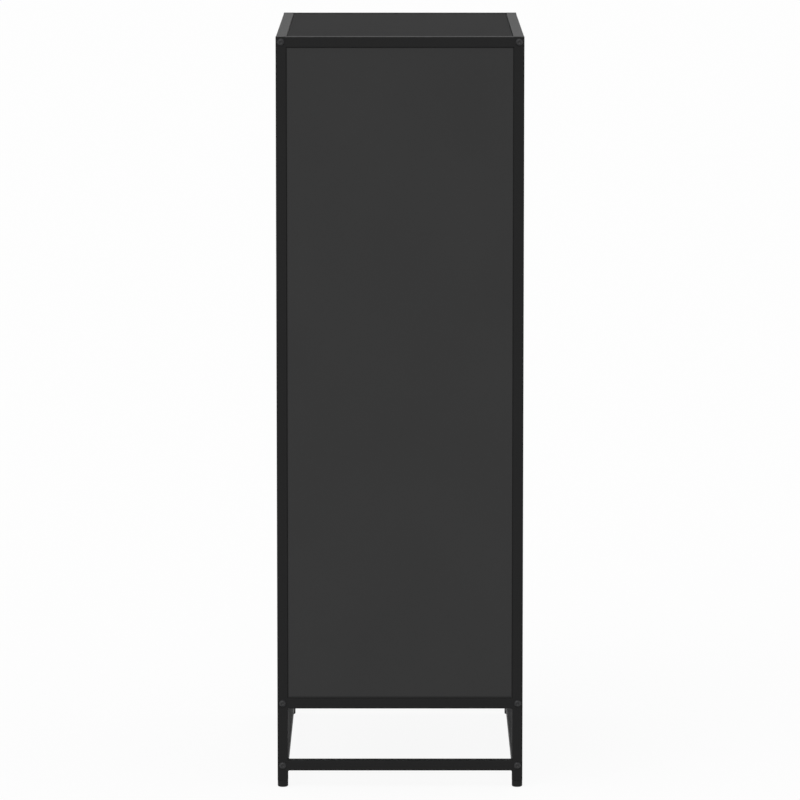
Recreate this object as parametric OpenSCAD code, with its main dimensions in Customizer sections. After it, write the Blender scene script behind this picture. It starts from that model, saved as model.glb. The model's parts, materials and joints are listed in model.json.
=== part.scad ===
// Tall two-door showcase on a frame of square steel tube, with boards set into the frame.
// The front faces -Y. The origin is on the floor, under the middle of the cabinet.

/* [Frame] */
// Width over the posts
frame_w = 570; // [450:5:900]
// Depth over the posts
frame_d = 350; // [280:5:500]
// Height from the floor to the top of the frame
frame_h = 1073; // [700:1:1500]
// Side of the square tube
tube = 15; // [13:0.5:25]
// Wall of the tube
tube_wall = 1; // [0.8:0.1:1.6]
// Outer corner radius of the tube
tube_r = 1.5; // [1:0.1:2.2]
// Underside of the foot rails above the floor
foot_rail_z = 24; // [20:1:60]
// Underside of the lower rails above the floor
lower_rail_z = 114; // [90:1:200]

/* [Feet and caps] */
// Height of a foot below its post
foot_h = 10; // [6:1:16]
// Radius of the rounded lower edge of a foot
foot_round = 2; // [0.5:0.5:4]
// Gap between the top of a foot's stem and the bolt above it
stem_bolt_gap = 4; // [1:0.5:6]
// Thickness of a post cap above its post
cap_t = 1.2; // [0.8:0.1:1.8]

/* [Frame bolts] */
// Radius of the bolt's shank
bolt_r = 3; // [2.5:0.5:3.5]
// Depth of a bolt in its nut
bolt_bite = 13; // [8:1:20]
// Radius of the bolt's head
bolt_head_r = 5.25; // [4.75:0.25:6]
// Height of the bolt's head
bolt_head_h = 3.3; // [2.5:0.1:4]
// Width across the flats of the bolt's hex socket
bolt_hex = 4; // [3:0.5:5]
// Clearance round a bolt in the holes of its post
bolt_hole_gap = 0.25; // [0.1:0.05:0.5]
// Length of the threaded nut in a rail's end
nut_l = 14; // [10:1:20]

/* [Boards] */
// Thickness of the top, bottom and side boards
board_t = 12; // [9:0.5:14]
// Thickness of the back panel
back_t = 3; // [2:0.5:5]
// Gap between a board's edge and the tube
board_gap = 0.5; // [0.3:0.1:1.5]
// Gap between a side panel and the lower rail
panel_foot_gap = 2; // [1:0.5:5]
// Bevel on the boards' edges
board_bevel = 1; // [0.4:0.1:2]

/* [Shelves] */
// Thickness of a shelf
shelf_t = 12; // [9:0.5:18]
// Gap between a shelf and the side panels
shelf_gap = 3; // [1:0.5:6]
// Gap between the doors' back and the shelves' front edge
shelf_setback = 6; // [4:1:30]
// Radius of a shelf pin
pin_r = 2.5; // [2:0.25:3]
// Depth of a shelf pin in its panel
pin_depth = 8; // [5:0.5:8.5]
// Length of a shelf pin under its shelf
pin_reach = 9; // [6:0.5:14]
// Distance of the shelf pins from the shelf's front and rear edges
pin_inset = 34; // [15:1:80]
// Step between a shelf's pin holes
pin_step = 32; // [20:1:40]

/* [Tabs and screws] */
// Thickness of a mounting tab
tab_t = 2; // [1.5:0.5:3]
// Reach of a mounting tab into its opening
tab_l = 22; // [20:1:30]
// Width of a mounting tab
tab_w = 18; // [12:1:30]
// Distance of a tab's hole from the tube
tab_hole = 16; // [14.5:0.5:16.5]
// Radius of a board screw's shank
screw_r = 1.75; // [1.5:0.25:2]
// Radius of a screw's head
screw_head_r = 3.5; // [3:0.25:4]
// Height of a screw's head
screw_head_h = 2; // [1.5:0.1:2.4]
// Depth of a board screw in its board
screw_bite = 8; // [5:0.5:8.5]
// Distance of the end tabs of a side panel from the panel's ends
side_tab_end = 70; // [40:1:100]
// Distance of the end tabs of the back panel from the panel's ends
back_tab_end = 120; // [105:1:160]
// Distance of the boards' tabs on the long rails from the cabinet's middle
rail_tab_x = 120; // [80:1:160]
// Distance of the back panel's tabs on the lower rail from the cabinet's middle
back_rail_tab_x = 180; // [60:1:190]

/* [Wall fixing] */
// Distance between the two wall holes
wall_pitch = 360; // [330:5:390]
// Radius of a wall hole
wall_hole_r = 3; // [2:0.25:3.5]
// Outer radius of a wall spacer
spacer_r = 7; // [5:0.5:9]
// Distance of the wall holes below the top rail
wall_hole_drop = 12; // [10:0.5:14]

/* [Doors] */
// Distance of the doors' face behind the front of the frame
door_setback = 10; // [9.5:0.5:14]
// Gap round a door
door_gap = 2; // [1.5:0.25:2.5]
// Gap between the two doors
meeting_gap = 3; // [2.5:0.25:5]
// Depth of the door profile
door_t = 15; // [13:0.5:17]
// Face width of the door profile
door_face = 20; // [18:0.5:30]
// Outer corner radius of the door profile
door_r = 1; // [0.5:0.1:1]
// Wall of the door profile
door_wall = 1.5; // [1:0.1:2]
// Thickness of the glass
glass_t = 4; // [3:0.5:6]
// Thickness of the gasket beside the glass
gasket_t = 1; // [0.5:0.1:1.5]
// Thickness of the gasket behind the glass edge
gasket_base = 1.5; // [1:0.1:2.5]
// Depth of the glazing groove
groove_d = 8; // [6:0.5:9]
// How far the gasket shows beside the door profile
gasket_lip = 1; // [0.5:0.1:2]

/* [Hinges] */
// Radius of a hinge barrel
barrel_r = 4; // [3.5:0.1:4.2]
// Length of one hinge barrel
barrel_l = 24; // [16:1:36]
// Radius of a hinge pin
hinge_pin_r = 2; // [1.5:0.1:2.4]
// Running clearance round a hinge pin
hinge_play = 0.05; // [0.03:0.01:0.08]
// Thickness of a hinge washer
washer_t = 1; // [0.5:0.1:2]
// Gap between a barrel and the part that turns past it
barrel_gap = 0.4; // [0.35:0.05:0.8]
// Half the width of the weld that carries a barrel
weld_w = 1.3; // [1:0.1:1.6]
// Distance of the end hinges from the door's ends
hinge_end = 90; // [60:1:160]

/* [Knobs] */
// Radius of a knob's head
knob_r = 7; // [6:0.25:8]
// Radius of a knob's neck
knob_neck_r = 3.5; // [3:0.1:4.5]
// How far a knob stands out of its door
knob_l = 9.5; // [8:0.1:9.5]
// Thickness of a knob's head
knob_head_t = 4; // [3:0.1:5]
// Height of the knobs above the floor
knob_z = 600; // [560:1:640]
// Radius of a knob's screw
knob_screw_r = 1.5; // [1.25:0.05:1.75]
// Bevel on a knob's edges
knob_bevel = 0.8; // [0.3:0.1:1.2]
// Depth of a knob's screw in the knob
knob_screw_bite = 6; // [4:0.5:7]

/* [Catches] */
// Width of a catch housing without its ears
catch_w = 30; // [26:1:36]
// Depth of a catch housing
catch_d = 12; // [11:0.5:16]
// Length of each ear of a catch housing
catch_ear = 9; // [8.5:0.5:12]
// Thickness of a catch's ears
catch_ear_t = 2; // [1.5:0.5:3]
// Width of a magnet
magnet_w = 22; // [16:1:24]
// Height of a magnet
magnet_h = 8; // [5:0.5:9]
// Depth of a magnet
magnet_d = 5; // [3:0.5:8]
// Wall of a catch housing round its magnet
catch_wall = 2; // [1:0.5:3]
// Gap between a catch and its strike plate
catch_gap = 0.4; // [0.35:0.05:1]
// Distance of a catch's middle from the cabinet's middle
catch_x = 28; // [27:1:40]
// Width of a strike plate
strike_w = 26; // [20:1:30]
// Height of a strike plate
strike_h = 10; // [8:0.5:12]
// Thickness of a strike plate
strike_t = 1; // [0.8:0.1:2]
// Distance of a strike plate from the door's end
strike_edge = 1.5; // [1:0.5:4]

/* [Hidden] */

$fn = 48;
// How far a cut runs past the face it opens
cut = 1;
// Clearance of a thread or a push fit
thread_fit = 0.02;
// Clearance of a plug in its tube
plug_fit = 0.05;
// Gap between a cap's plug and the bolt below it
plug_bolt_gap = 0.4;

// Planes of the frame: the inner faces of the posts, and the rails' undersides
inner_x = frame_w / 2 - tube;
inner_y = frame_d / 2 - tube;
top_rail_z = frame_h - tube;
post_x = frame_w / 2 - tube / 2;
post_y = frame_d / 2 - tube / 2;
rail_zs = [foot_rail_z, lower_rail_z, top_rail_z];
bore_side = tube - 2 * tube_wall;
bore_r = max(tube_r - tube_wall, 0.2);

// Boards stand on the tabs, which are flush with the tube's inner faces
top_board_z = top_rail_z + tab_t;
bottom_board_z = lower_rail_z + tab_t;
floor_z = bottom_board_z + board_t;
lower_rail_top = lower_rail_z + tube;
panel_z0 = lower_rail_top + panel_foot_gap;
panel_z1 = top_rail_z - board_gap;
panel_mid_z = (panel_z0 + panel_z1) / 2;
panel_x = inner_x + tab_t;
back_y = inner_y + tab_t;
back_z0 = lower_rail_top + board_gap;
back_z1 = top_rail_z - board_gap;

// Tab places: heights on the posts, and distances along the rails
side_tab_zs = [panel_z0 + side_tab_end, panel_mid_z, panel_z1 - side_tab_end];
back_tab_zs = [back_z0 + back_tab_end, panel_mid_z + tab_w * 2, back_z1 - back_tab_end];
screw_l = tab_t + screw_bite;
// Width and depth of the cross in a screw's head
cross_w = 0.8;
cross_d = 1;
// How far the back panel's screws come out of their tabs
screw_tail = 2;

// Doors: faces, ends and the pocket that holds the glass
door_y = -frame_d / 2 + door_setback;
door_back_y = door_y + door_t;
door_x0 = -inner_x + door_gap;
door_x1 = -meeting_gap / 2;
door_w = door_x1 - door_x0;
door_z0 = lower_rail_top + door_gap;
door_z1 = top_rail_z - door_gap;
door_h = door_z1 - door_z0;
groove_w = glass_t + 2 * gasket_t;
groove_wall_x = door_face - groove_d - door_wall;
sight_w = door_w - 2 * door_face;
sight_h = door_h - 2 * door_face;

// Hinges: the axis stands a barrel and a gap away from the post and from the door's face
hinge_x = -inner_x + barrel_r + barrel_gap;
hinge_y = door_y - barrel_r - barrel_gap;
hinge_l = 2 * barrel_l + washer_t;
// How far a barrel's closed end reaches past its pin
barrel_end = barrel_l / 4;
hinge_zs = [door_z0 + hinge_end, (door_z0 + door_z1 - hinge_l) / 2, door_z1 - hinge_end - hinge_l];

// The two shelves make three equal compartments, and reach from the doors to the back tabs
compartment_h = (top_board_z - floor_z - 2 * shelf_t) / 3;
lower_shelf_z = floor_z + compartment_h;
upper_shelf_z = lower_shelf_z + shelf_t + compartment_h;
shelf_y0 = door_back_y + shelf_setback;
shelf_y1 = inner_y - board_gap;
shelf_x = panel_x - shelf_gap;

// Catches: magnets stand level with the strike plates on the doors' backs
catch_y = door_back_y + strike_t + catch_gap;
strike_top_z = door_z1 - strike_edge - strike_h / 2;
strike_bottom_z = door_z0 + strike_edge + strike_h / 2;
catch_screw_x = catch_w / 2 + catch_ear / 2;
catch_screw_y = catch_y + catch_d / 2;

// ---- Shared shapes ----

module both_x() { children(); mirror([1, 0, 0]) children(); }
module both_y() { children(); mirror([0, 1, 0]) children(); }

module rounded_rect(w, h, r) {
    square([w - 2 * r, h], center = true);
    square([w, h - 2 * r], center = true);
    for (x = [-1, 1], y = [-1, 1])
        translate([x * (w / 2 - r), y * (h / 2 - r)]) circle(r = r);
}

// A length of frame tube along +Z
module tube_bar(length) {
    linear_extrude(length) difference() {
        rounded_rect(tube, tube, tube_r);
        rounded_rect(bore_side, bore_side, bore_r);
    }
}

// A board in the XY plane with bevelled edges, centred in X and Y, from Z = 0 up
module board(w, h, t, bevel) {
    module section(length) {
        polygon([
            [-length / 2, bevel], [-length / 2 + bevel, 0],
            [length / 2 - bevel, 0], [length / 2, bevel],
            [length / 2, t - bevel], [length / 2 - bevel, t],
            [-length / 2 + bevel, t], [-length / 2, t - bevel]
        ]);
    }
    intersection() {
        rotate([90, 0, 0]) linear_extrude(h, center = true) section(w);
        rotate([90, 0, 90]) linear_extrude(w, center = true) section(h);
    }
}

// A pan head screw that points along +Z, with its head below Z = 0
module pan_screw(r, length) {
    difference() {
        union() {
            cylinder(r = r, h = length);
            translate([0, 0, -screw_head_h]) rotate_extrude() polygon([
                [0, 0], [screw_head_r * 0.7, 0], [screw_head_r, screw_head_h * 0.5],
                [screw_head_r, screw_head_h], [0, screw_head_h]
            ]);
        }
        for (turn = [0, 90]) rotate(turn) translate([0, 0, -screw_head_h])
            cube([screw_head_r, cross_w, 2 * cross_d], center = true);
    }
}

// ---- Places that repeat ----

// A side panel's tabs on both posts of the right end: +X into the opening, +Z outwards
module at_side_tabs() {
    both_y() for (z = side_tab_zs)
        translate([inner_x, inner_y, z]) rotate([-90, 0, 0]) rotate([0, 90, 0]) children();
}

// The tabs under a board that lies in a frame whose underside is at z
module at_flat_tabs(z) {
    both_y() both_x() translate([rail_tab_x, inner_y, z]) rotate(-90) children();
    both_x() translate([inner_x, 0, z]) rotate(180) children();
}

// The back panel's tabs on the posts and on the lower rail
module at_back_tabs() {
    both_x() {
        for (z = back_tab_zs)
            translate([inner_x, inner_y, z]) rotate([90, 0, 0]) rotate([0, 180, 0]) children();
        translate([back_rail_tab_x, inner_y, lower_rail_top])
            mirror([0, 0, 1]) rotate([0, 90, 90]) children();
    }
}

// The two wall holes: +Z towards the wall, from the brackets' front
module at_wall_holes() {
    both_x() translate([wall_pitch / 2, inner_y, top_rail_z - wall_hole_drop])
        rotate([-90, 0, 0]) children();
}

// Every frame bolt's place, with +Z along the bolt into the cabinet
module at_bolts() {
    both_x() both_y() for (z = rail_zs)
        translate([frame_w / 2, post_y, z + tube / 2]) rotate([0, -90, 0]) children();
}

// The two places on each shelf's right end, with +Z into the panel
module at_shelf_pins(z) {
    for (y = [shelf_y0 + pin_inset, shelf_y1 - pin_inset])
        translate([panel_x, y, z - pin_r]) rotate([0, 90, 0]) children();
}

// The screws of the upper and the lower catches, with +Z into their board
module at_catch_screws() {
    both_x() for (side = [-1, 1]) {
        translate([catch_x + side * catch_screw_x, catch_screw_y, top_board_z]) children();
        translate([catch_x + side * catch_screw_x, catch_screw_y, floor_z])
            mirror([0, 0, 1]) children();
    }
}

// ---- Frame ----

module post(x, y) {
    color("#2b2b2c") difference() {
        translate([x * post_x, y * post_y, foot_h]) tube_bar(frame_h - cap_t - foot_h);
        for (z = rail_zs) translate([x * post_x, y * post_y, z + tube / 2])
            rotate([0, 90, 0]) cylinder(r = bolt_r + bolt_hole_gap, h = tube + 2 * cut, center = true);
    }
}

module side_rail(x, z) {
    color("#2b2b2c") translate([x * post_x, inner_y, z + tube / 2])
        rotate([90, 0, 0]) tube_bar(2 * inner_y);
}

module long_rail(y, z) {
    color("#2b2b2c") translate([-inner_x, y * post_y, z + tube / 2])
        rotate([0, 90, 0]) tube_bar(2 * inner_x);
}

module post_caps() {
    plug_l = tube / 2 - bolt_r - cap_t - plug_bolt_gap;
    plug_side = bore_side - 2 * plug_fit;
    color("#1f1f20") both_x() both_y() translate([post_x, post_y, frame_h - cap_t]) {
        linear_extrude(cap_t) rounded_rect(tube, tube, tube_r);
        translate([0, 0, -plug_l]) linear_extrude(plug_l + cap_t / 2)
            rounded_rect(plug_side, plug_side, bore_r);
    }
}

module feet() {
    stem_side = bore_side - 2 * plug_fit;
    stem_l = foot_rail_z + tube / 2 - bolt_r - stem_bolt_gap - foot_h;
    color("#242424") both_x() both_y() translate([post_x, post_y, 0]) {
        rotate_extrude() {
            square([tube / 2 - foot_round, foot_h]);
            translate([0, foot_round]) square([tube / 2, foot_h - foot_round]);
            translate([tube / 2 - foot_round, foot_round]) intersection() {
                circle(r = foot_round);
                translate([0, -foot_round]) square(foot_round);
            }
        }
        translate([0, 0, foot_h / 2]) linear_extrude(foot_h / 2 + stem_l)
            rounded_rect(stem_side, stem_side, bore_r);
    }
}

module rail_nuts() {
    nut_side = bore_side - 2 * plug_fit;
    color("#8c8f92") at_bolts() translate([0, 0, tube]) difference() {
        linear_extrude(nut_l) rounded_rect(nut_side, nut_side, bore_r);
        translate([0, 0, -cut]) cylinder(r = bolt_r + thread_fit, h = nut_l + 2 * cut);
    }
}

module frame_bolts() {
    dome_r = (pow(bolt_head_h, 2) + pow(bolt_head_r, 2)) / (2 * bolt_head_h);
    color("#2a2a2b") at_bolts() difference() {
        union() {
            cylinder(r = bolt_r, h = tube + bolt_bite);
            intersection() {
                translate([0, 0, dome_r - bolt_head_h]) sphere(r = dome_r);
                translate([0, 0, -bolt_head_h]) cylinder(r = bolt_head_r, h = bolt_head_h);
            }
        }
        translate([0, 0, -bolt_head_h - cut])
            cylinder(r = bolt_hex / 2 / cos(30), h = bolt_head_h * 0.65 + cut, $fn = 6);
    }
}

// ---- Boards ----

module flat_board(z) {
    difference() {
        translate([0, 0, z])
            board(2 * (inner_x - board_gap), 2 * (inner_y - board_gap), board_t, board_bevel);
        at_flat_tabs(z - tab_t) translate([tab_hole, 0, 0])
            cylinder(r = screw_r + thread_fit, h = screw_l + thread_fit);
        at_catch_screws() translate([0, 0, -catch_ear_t])
            cylinder(r = screw_r + thread_fit, h = catch_ear_t + screw_bite + thread_fit);
    }
}

module top_board() { color("#3a3a3b") flat_board(top_board_z); }
module bottom_board() { color("#3a3a3b") flat_board(bottom_board_z); }

module side_panel() {
    color("#373738") difference() {
        translate([panel_x, 0, (panel_z0 + panel_z1) / 2]) rotate([0, 90, 0])
            board(panel_z1 - panel_z0, 2 * (inner_y - board_gap), board_t, board_bevel);
        at_side_tabs() translate([tab_hole, 0, 0])
            cylinder(r = screw_r + thread_fit, h = screw_l + thread_fit);
        for (z = [lower_shelf_z, upper_shelf_z], step = [-1, 0, 1])
            at_shelf_pins(z + step * pin_step) translate([0, 0, -cut])
                cylinder(r = pin_r + thread_fit, h = pin_depth + cut);
    }
}

module back_panel() {
    color("#333334") difference() {
        translate([-inner_x + board_gap, back_y, back_z0])
            cube([2 * (inner_x - board_gap), back_t, back_z1 - back_z0]);
        at_back_tabs() translate([tab_hole, 0, 0])
            cylinder(r = screw_r + thread_fit, h = tab_t + back_t + cut);
        at_wall_holes() cylinder(r = wall_hole_r, h = tab_t + back_t + cut);
    }
}

module shelf(z) {
    color("#3a3a3b") translate([0, (shelf_y0 + shelf_y1) / 2, z])
        board(2 * shelf_x, shelf_y1 - shelf_y0, shelf_t, board_bevel);
}

module shelf_pins() {
    color("#a9abad") both_x() for (z = [lower_shelf_z, upper_shelf_z])
        at_shelf_pins(z) translate([0, 0, -pin_reach])
            cylinder(r = pin_r, h = pin_reach + pin_depth);
}

// ---- Tabs, brackets and screws ----

module tab() {
    difference() {
        translate([0, -tab_w / 2, 0]) cube([tab_l, tab_w, tab_t]);
        translate([tab_hole, 0, -cut]) cylinder(r = screw_r + thread_fit, h = tab_t + 2 * cut);
    }
}

module board_tabs() {
    color("#2b2b2c") {
        both_x() at_side_tabs() tab();
        for (z = [top_rail_z, lower_rail_z]) at_flat_tabs(z) tab();
        at_back_tabs() tab();
    }
}

module board_screws() {
    color("#8c8f92") {
        both_x() at_side_tabs() translate([tab_hole, 0, 0]) pan_screw(screw_r, screw_l);
        for (z = [top_rail_z, lower_rail_z])
            at_flat_tabs(z) translate([tab_hole, 0, 0]) pan_screw(screw_r, screw_l);
    }
}

module back_screws() {
    color("#8c8f92") at_back_tabs() translate([tab_hole, 0, tab_t + back_t])
        mirror([0, 0, 1]) pan_screw(screw_r, back_t + tab_t + screw_tail);
}

module wall_brackets() {
    bracket_l = wall_hole_drop * 2;
    color("#2b2b2c") difference() {
        both_x() translate([wall_pitch / 2 - wall_hole_drop, inner_y, top_rail_z - bracket_l])
            cube([bracket_l, tab_t, bracket_l]);
        at_wall_holes() translate([0, 0, -cut]) cylinder(r = wall_hole_r, h = tab_t + 2 * cut);
    }
}

module wall_spacers() {
    spacer_l = frame_d / 2 - back_y - back_t;
    color("#1f1f20") at_wall_holes() translate([0, 0, tab_t + back_t]) difference() {
        cylinder(r = spacer_r, h = spacer_l);
        translate([0, 0, -cut]) cylinder(r = wall_hole_r, h = spacer_l + 2 * cut);
    }
}

// ---- Hinges, on the left door's side; the right side is mirrored ----

module at_hinges() {
    for (z = hinge_zs) translate([hinge_x, hinge_y, z]) children();
}

module post_hinge_barrels() {
    color("#2b2b2c") both_x() at_hinges() difference() {
        union() {
            cylinder(r = barrel_r, h = barrel_l);
            translate([-barrel_r - barrel_gap, -weld_w, 0])
                cube([barrel_r + barrel_gap, 2 * weld_w, barrel_l]);
        }
        translate([0, 0, barrel_end]) cylinder(r = hinge_pin_r + thread_fit, h = barrel_l);
    }
}

module hinge_pins() {
    color("#a9abad") both_x() at_hinges() translate([0, 0, barrel_end])
        cylinder(r = hinge_pin_r, h = hinge_l - 2 * barrel_end);
}

module hinge_washers() {
    color("#b8964f") both_x() at_hinges() translate([0, 0, barrel_l]) difference() {
        cylinder(r = barrel_r - barrel_gap, h = washer_t);
        translate([0, 0, -cut]) cylinder(r = hinge_pin_r + thread_fit, h = washer_t + 2 * cut);
    }
}

module door_barrels() {
    color("#2b2b2c") at_hinges() translate([0, 0, barrel_l + washer_t]) difference() {
        union() {
            cylinder(r = barrel_r, h = barrel_l);
            translate([-weld_w, 0, 0]) cube([2 * weld_w, barrel_r + barrel_gap, barrel_l]);
        }
        translate([0, 0, -cut])
            cylinder(r = hinge_pin_r + hinge_play, h = cut + barrel_l - barrel_end + barrel_gap);
    }
}

// ---- Left door; the right door is mirrored ----

// Section of the door profile: X from the door's edge inwards, Y from the face backwards
module door_section() {
    groove_y = (door_t - groove_w) / 2;
    difference() {
        translate([door_face / 2, door_t / 2]) rounded_rect(door_face, door_t, door_r);
        translate([door_face - groove_d, groove_y]) square([groove_d + cut, groove_w]);
        translate([door_wall, door_wall])
            square([groove_wall_x - door_wall, door_t - 2 * door_wall]);
    }
}

// A bar of door profile along +Z with both ends mitred towards its inner side
module door_bar(length) {
    intersection() {
        linear_extrude(length) door_section();
        rotate([90, 0, 0]) translate([0, 0, -door_t - cut]) linear_extrude(door_t + 2 * cut)
            polygon([[0, 0], [door_face + cut, door_face + cut],
                     [door_face + cut, length - door_face - cut], [0, length]]);
    }
}

module door_hinge_stile() {
    color("#262627") translate([door_x0, door_y, door_z0]) door_bar(door_h);
}

module door_meeting_stile() {
    color("#262627") difference() {
        translate([door_x1, door_y, door_z0]) mirror([1, 0, 0]) door_bar(door_h);
        at_knob() translate([0, 0, -cut])
            cylinder(r = knob_screw_r + thread_fit, h = door_t + 2 * cut);
    }
}

module door_top_rail() {
    color("#262627") translate([door_x0, door_y, door_z1])
        rotate([0, 90, 0]) door_bar(door_w);
}

module door_bottom_rail() {
    color("#262627") translate([door_x0, door_y, door_z0])
        mirror([0, 0, 1]) rotate([0, 90, 0]) door_bar(door_w);
}

// A slab in the door's glass plane, grown past the sight opening by edge on all sides
module glazing_slab(edge, t) {
    translate([(door_x0 + door_x1) / 2, door_y + door_t / 2, (door_z0 + door_z1) / 2])
        cube([sight_w + 2 * edge, t, sight_h + 2 * edge], center = true);
}

module door_glass() {
    color("#b9c6c9", 0.35) glazing_slab(groove_d - gasket_base, glass_t);
}

module door_gasket() {
    color("#141414") difference() {
        glazing_slab(groove_d, groove_w);
        glazing_slab(groove_d - gasket_base, glass_t);
        glazing_slab(-gasket_lip, groove_w + 2 * cut);
    }
}

// The knob's place on the door's face, beside the groove's wall, with +Z into the door
module at_knob() {
    translate([door_x1 - groove_wall_x + knob_screw_r + thread_fit, door_y, knob_z])
        rotate([-90, 0, 0]) children();
}

module door_knob() {
    color("#262627") at_knob() mirror([0, 0, 1]) difference() {
        rotate_extrude() polygon([
            [0, 0], [knob_neck_r + knob_bevel, 0], [knob_neck_r, knob_bevel],
            [knob_neck_r, knob_l - knob_head_t - knob_bevel],
            [knob_r - knob_bevel, knob_l - knob_head_t],
            [knob_r, knob_l - knob_head_t + knob_bevel], [knob_r, knob_l - knob_bevel],
            [knob_r - knob_bevel, knob_l], [0, knob_l]
        ]);
        translate([0, 0, -cut])
            cylinder(r = knob_screw_r + thread_fit, h = knob_screw_bite + cut);
    }
}

module door_knob_screw() {
    color("#8c8f92") at_knob() translate([0, 0, door_t]) mirror([0, 0, 1])
        pan_screw(knob_screw_r, door_t + knob_screw_bite - thread_fit);
}

module door_strike_plates() {
    color("#a9abad") for (z = [strike_top_z, strike_bottom_z])
        translate([-catch_x - strike_w / 2, door_back_y, z - strike_h / 2])
            cube([strike_w, strike_t, strike_h]);
}

// ---- Catches ----

// A catch below a board at z = 0, whose magnet's middle is at z = -drop
module catch_housing(drop) {
    body_h = drop + magnet_h / 2 + catch_wall;
    translate([catch_x, catch_y, 0]) difference() {
        union() {
            translate([-catch_w / 2, 0, -body_h]) cube([catch_w, catch_d, body_h]);
            translate([-catch_w / 2 - catch_ear, 0, -catch_ear_t])
                cube([catch_w + 2 * catch_ear, catch_d, catch_ear_t]);
        }
        translate([-magnet_w / 2, -cut, -drop - magnet_h / 2])
            cube([magnet_w, magnet_d + cut, magnet_h]);
        for (side = [-1, 1])
            translate([side * catch_screw_x, catch_d / 2, -catch_ear_t - cut])
                cylinder(r = screw_r + thread_fit, h = catch_ear_t + 2 * cut);
    }
}

module magnet(drop) {
    translate([catch_x - magnet_w / 2, catch_y, -drop - magnet_h / 2])
        cube([magnet_w, magnet_d, magnet_h]);
}

module catch_housings() {
    color("#2e2e2f") both_x() {
        translate([0, 0, top_board_z]) catch_housing(top_board_z - strike_top_z);
        translate([0, 0, floor_z]) mirror([0, 0, 1]) catch_housing(strike_bottom_z - floor_z);
    }
}

module catch_magnets() {
    color("#5d6063") both_x() {
        translate([0, 0, top_board_z]) magnet(top_board_z - strike_top_z);
        translate([0, 0, floor_z]) mirror([0, 0, 1]) magnet(strike_bottom_z - floor_z);
    }
}

module catch_screws() {
    color("#8c8f92") at_catch_screws() translate([0, 0, -catch_ear_t])
        pan_screw(screw_r, catch_ear_t + screw_bite);
}

// ---- Nodes ----

post(-1, -1);  // left_front_post
post(-1, 1);  // left_rear_post
post(1, -1);  // right_front_post
post(1, 1);  // right_rear_post
side_rail(-1, top_rail_z);  // left_top_rail
side_rail(-1, lower_rail_z);  // left_lower_rail
side_rail(-1, foot_rail_z);  // left_foot_rail
side_rail(1, top_rail_z);  // right_top_rail
side_rail(1, lower_rail_z);  // right_lower_rail
side_rail(1, foot_rail_z);  // right_foot_rail
long_rail(-1, top_rail_z);  // front_top_rail
long_rail(-1, lower_rail_z);  // front_lower_rail
long_rail(-1, foot_rail_z);  // front_foot_rail
long_rail(1, top_rail_z);  // rear_top_rail
long_rail(1, lower_rail_z);  // rear_lower_rail
long_rail(1, foot_rail_z);  // rear_foot_rail
post_caps();
feet();
rail_nuts();
frame_bolts();
top_board();
bottom_board();
mirror([1, 0, 0]) side_panel();  // left_side_panel
side_panel();  // right_side_panel
back_panel();
shelf(lower_shelf_z);  // lower_shelf
shelf(upper_shelf_z);  // upper_shelf
shelf_pins();
board_tabs();
board_screws();
back_screws();
wall_brackets();
wall_spacers();
post_hinge_barrels();
hinge_pins();
hinge_washers();
catch_housings();
catch_magnets();
catch_screws();
door_hinge_stile();  // left_door_hinge_stile
door_meeting_stile();  // left_door_meeting_stile
door_top_rail();  // left_door_top_rail
door_bottom_rail();  // left_door_bottom_rail
door_glass();  // left_door_glass
door_gasket();  // left_door_gasket
door_knob();  // left_door_knob
door_knob_screw();  // left_door_knob_screw
door_strike_plates();  // left_door_strike_plates
door_barrels();  // left_door_barrels
mirror([1, 0, 0]) door_hinge_stile();  // right_door_hinge_stile
mirror([1, 0, 0]) door_meeting_stile();  // right_door_meeting_stile
mirror([1, 0, 0]) door_top_rail();  // right_door_top_rail
mirror([1, 0, 0]) door_bottom_rail();  // right_door_bottom_rail
mirror([1, 0, 0]) door_glass();  // right_door_glass
mirror([1, 0, 0]) door_gasket();  // right_door_gasket
mirror([1, 0, 0]) door_knob();  // right_door_knob
mirror([1, 0, 0]) door_knob_screw();  // right_door_knob_screw
mirror([1, 0, 0]) door_strike_plates();  // right_door_strike_plates
mirror([1, 0, 0]) door_barrels();  // right_door_barrels
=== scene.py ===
import json
from math import cos, radians, sin, sqrt

import bmesh
import bpy
from mathutils import Matrix, Vector


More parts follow.
